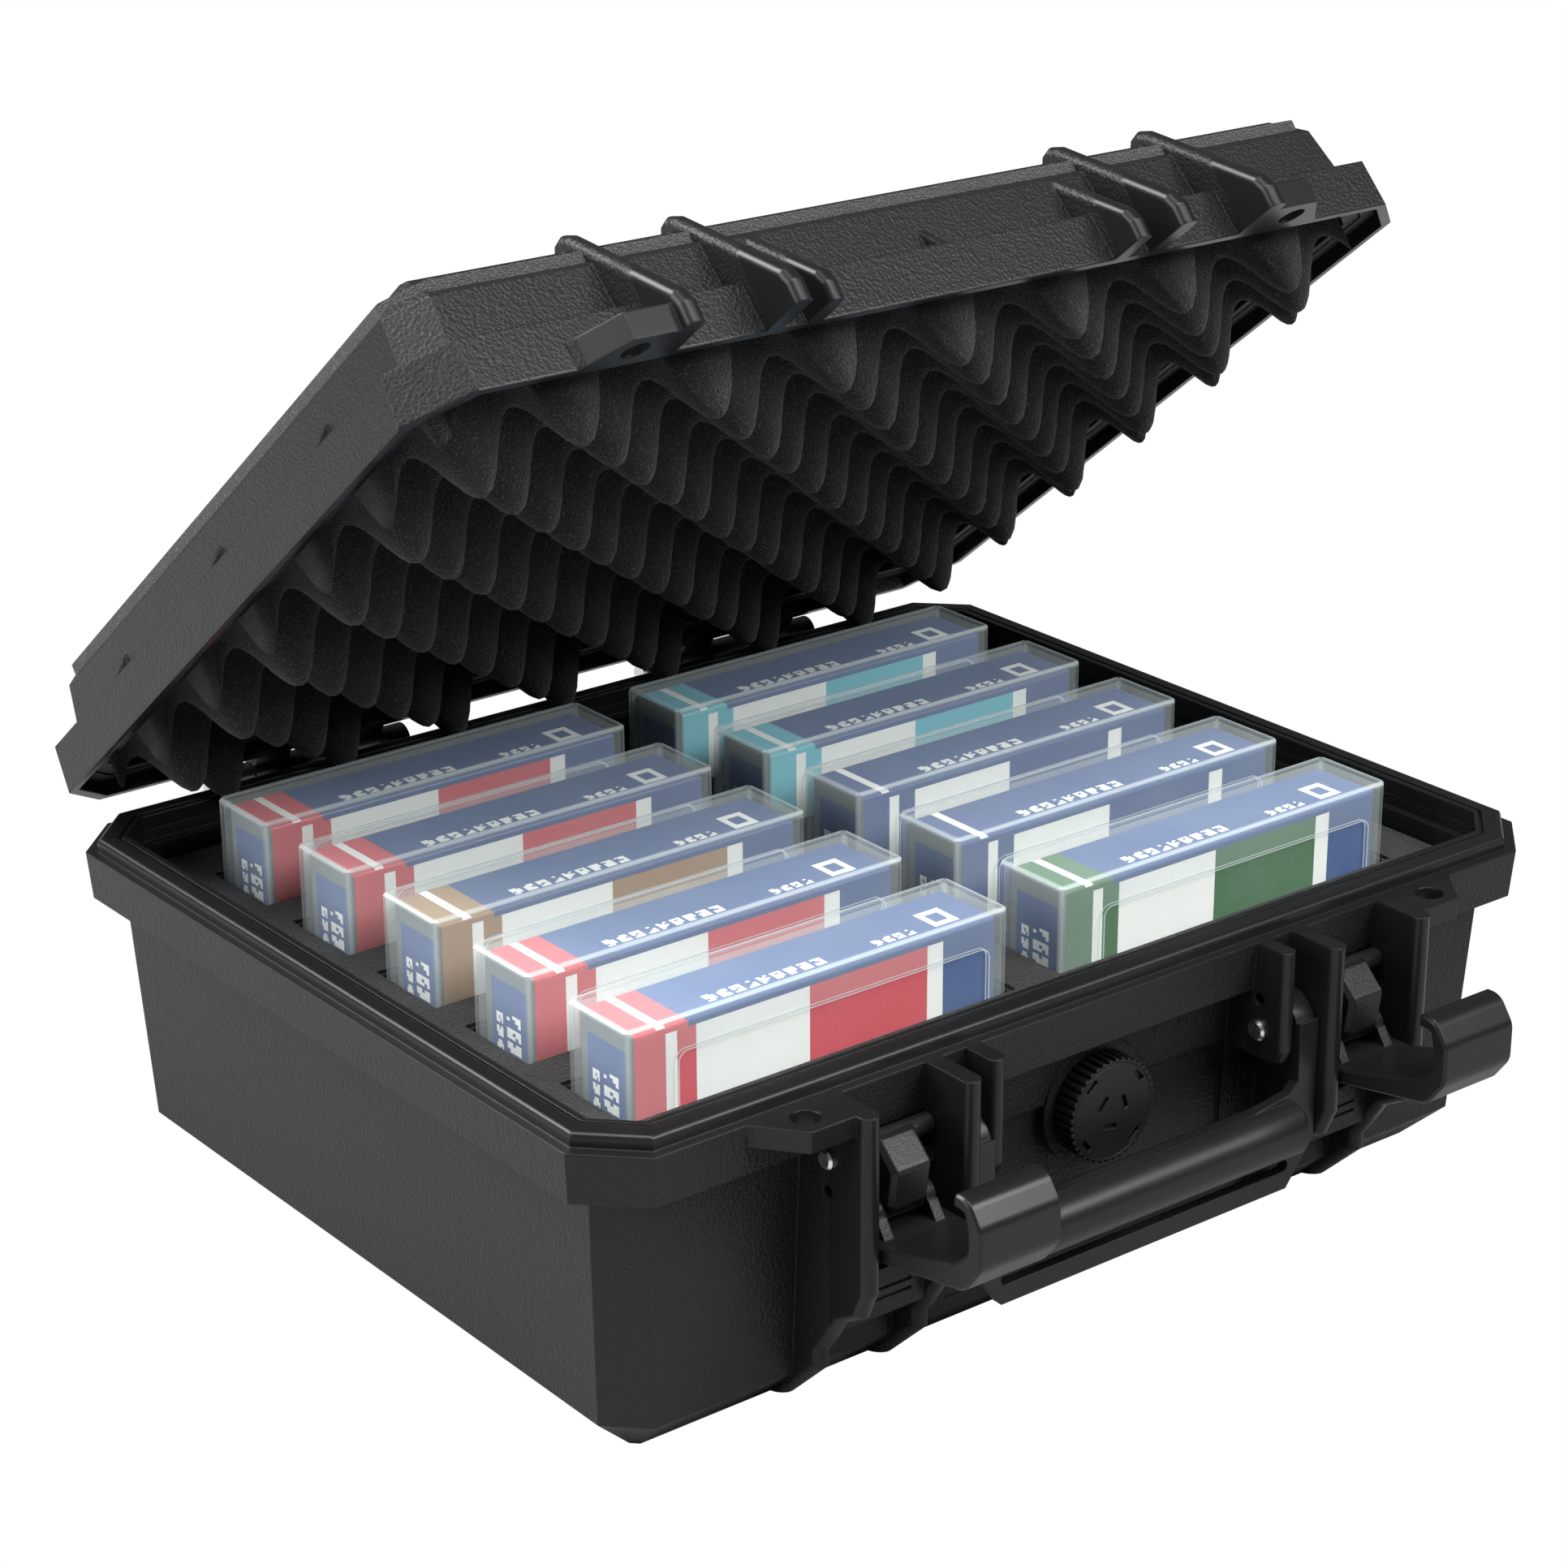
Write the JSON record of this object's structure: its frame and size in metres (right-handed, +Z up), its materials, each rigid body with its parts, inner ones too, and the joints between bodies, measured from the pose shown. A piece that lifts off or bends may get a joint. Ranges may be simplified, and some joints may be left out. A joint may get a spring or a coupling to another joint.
{
  "type": "carrying case",
  "caption": "Hard-shell carrying case with hinged lid open, draw latches, folding handle and pressure valve; cartridges in clear cases stand in foam",
  "frame": {"origin": "centre of the flat underside of the base", "axes": "+X along the front from left to right, +Y from the latches to the hinge, +Z up"},
  "size_m": [0.336, 0.3385, 0.2942],
  "materials": {
    "shell_plastic": "fine leather grain, semi-matt",
    "fitting_plastic": "fine texture, satin",
    "seal_rubber": "matt",
    "foam": "open-cell, matt",
    "steel": "plain turned",
    "clear_plastic": "clear, slightly frosted",
    "cartridge_red": "satin",
    "cartridge_tan": "satin",
    "cartridge_green": "satin",
    "cartridge_navy": "satin",
    "cartridge_turquoise": "satin"
  },
  "bodies": {
    "base": {"base_shell": "shell_plastic", "base_foam": "foam", "hinge_pin_left": "steel", "hinge_pin_right": "steel", "latch_pin_left": "steel", "latch_pin_right": "steel", "handle_pin_left": "steel", "handle_pin_right": "steel", "valve_nut": "fitting_plastic"},
    "lid": {"lid_shell": "shell_plastic", "lid_seal": "seal_rubber", "lid_foam": "foam"},
    "handle": {"handle": "fitting_plastic"},
    "valve": {"valve_knob": "fitting_plastic", "valve_face": "fitting_plastic"},
    "latch_link_left": {"latch_link_left": "fitting_plastic", "elbow_pin_left": "steel"},
    "latch_lever_left": {"latch_lever_left": "fitting_plastic"},
    "latch_link_right": {"latch_link_right": "fitting_plastic", "elbow_pin_right": "steel"},
    "latch_lever_right": {"latch_lever_right": "fitting_plastic"},
    "cased_left_1": {"clear_case_left_1": "clear_plastic", "cartridge_left_1": "cartridge_red"},
    "cased_left_2": {"clear_case_left_2": "clear_plastic", "cartridge_left_2": "cartridge_red"},
    "cased_left_3": {"clear_case_left_3": "clear_plastic", "cartridge_left_3": "cartridge_tan"},
    "cased_left_4": {"clear_case_left_4": "clear_plastic", "cartridge_left_4": "cartridge_red"},
    "cased_left_5": {"clear_case_left_5": "clear_plastic", "cartridge_left_5": "cartridge_red"},
    "cased_right_1": {"clear_case_right_1": "clear_plastic", "cartridge_right_1": "cartridge_green"},
    "cased_right_2": {"clear_case_right_2": "clear_plastic", "cartridge_right_2": "cartridge_navy"},
    "cased_right_3": {"clear_case_right_3": "clear_plastic", "cartridge_right_3": "cartridge_navy"},
    "cased_right_4": {"clear_case_right_4": "clear_plastic", "cartridge_right_4": "cartridge_turquoise"},
    "cased_right_5": {"clear_case_right_5": "clear_plastic", "cartridge_right_5": "cartridge_turquoise"}
  },
  "joints": [
    {"name": "lid_hinge", "type": "hinge", "parent": "base", "child": "lid", "pos_m": [0, 0.1455, 0.0943], "axis": [-1, 0, 0], "range_deg": [-38.9, 61], "deforming": ["lid_foam"]},
    {"name": "handle_swing", "type": "hinge", "parent": "base", "child": "handle", "pos_m": [0, -0.1368, 0.0713], "axis": [-1, 0, 0], "range_deg": [0, 92]},
    {"name": "valve_turn", "type": "hinge", "parent": "base", "child": "valve", "pos_m": [0, -0.13, 0.0606], "axis": [0, -1, 0], "range_deg": [0, 180]},
    {"name": "latch_link_turn_left", "type": "hinge", "parent": "base", "child": "latch_link_left", "pos_m": [-0.0813, -0.1368, 0.0803], "axis": [1, 0, 0], "range_deg": [-46, 6]},
    {"name": "latch_lever_turn_left", "type": "hinge", "parent": "latch_link_left", "child": "latch_lever_left", "pos_m": [-0.0813, -0.1403, 0.0633], "axis": [-1, 0, 0], "range_deg": [0, 47]},
    {"name": "latch_link_turn_right", "type": "hinge", "parent": "base", "child": "latch_link_right", "pos_m": [0.0813, -0.1368, 0.0803], "axis": [1, 0, 0], "range_deg": [-46, 6]},
    {"name": "latch_lever_turn_right", "type": "hinge", "parent": "latch_link_right", "child": "latch_lever_right", "pos_m": [0.0813, -0.1403, 0.0633], "axis": [-1, 0, 0], "range_deg": [0, 47]},
    {"name": "cased_lift_left_1", "type": "slide", "parent": "base", "child": "cased_left_1", "axis": [0, 0, 1], "range_m": [0, 0.03]},
    {"name": "cased_lift_left_2", "type": "slide", "parent": "base", "child": "cased_left_2", "axis": [0, 0, 1], "range_m": [0, 0.03]},
    {"name": "cased_lift_left_3", "type": "slide", "parent": "base", "child": "cased_left_3", "axis": [0, 0, 1], "range_m": [0, 0.03]},
    {"name": "cased_lift_left_4", "type": "slide", "parent": "base", "child": "cased_left_4", "axis": [0, 0, 1], "range_m": [0, 0.03]},
    {"name": "cased_lift_left_5", "type": "slide", "parent": "base", "child": "cased_left_5", "axis": [0, 0, 1], "range_m": [0, 0.03]},
    {"name": "cased_lift_right_1", "type": "slide", "parent": "base", "child": "cased_right_1", "axis": [0, 0, 1], "range_m": [0, 0.03]},
    {"name": "cased_lift_right_2", "type": "slide", "parent": "base", "child": "cased_right_2", "axis": [0, 0, 1], "range_m": [0, 0.03]},
    {"name": "cased_lift_right_3", "type": "slide", "parent": "base", "child": "cased_right_3", "axis": [0, 0, 1], "range_m": [0, 0.03]},
    {"name": "cased_lift_right_4", "type": "slide", "parent": "base", "child": "cased_right_4", "axis": [0, 0, 1], "range_m": [0, 0.03]},
    {"name": "cased_lift_right_5", "type": "slide", "parent": "base", "child": "cased_right_5", "axis": [0, 0, 1], "range_m": [0, 0.03]}
  ]
}
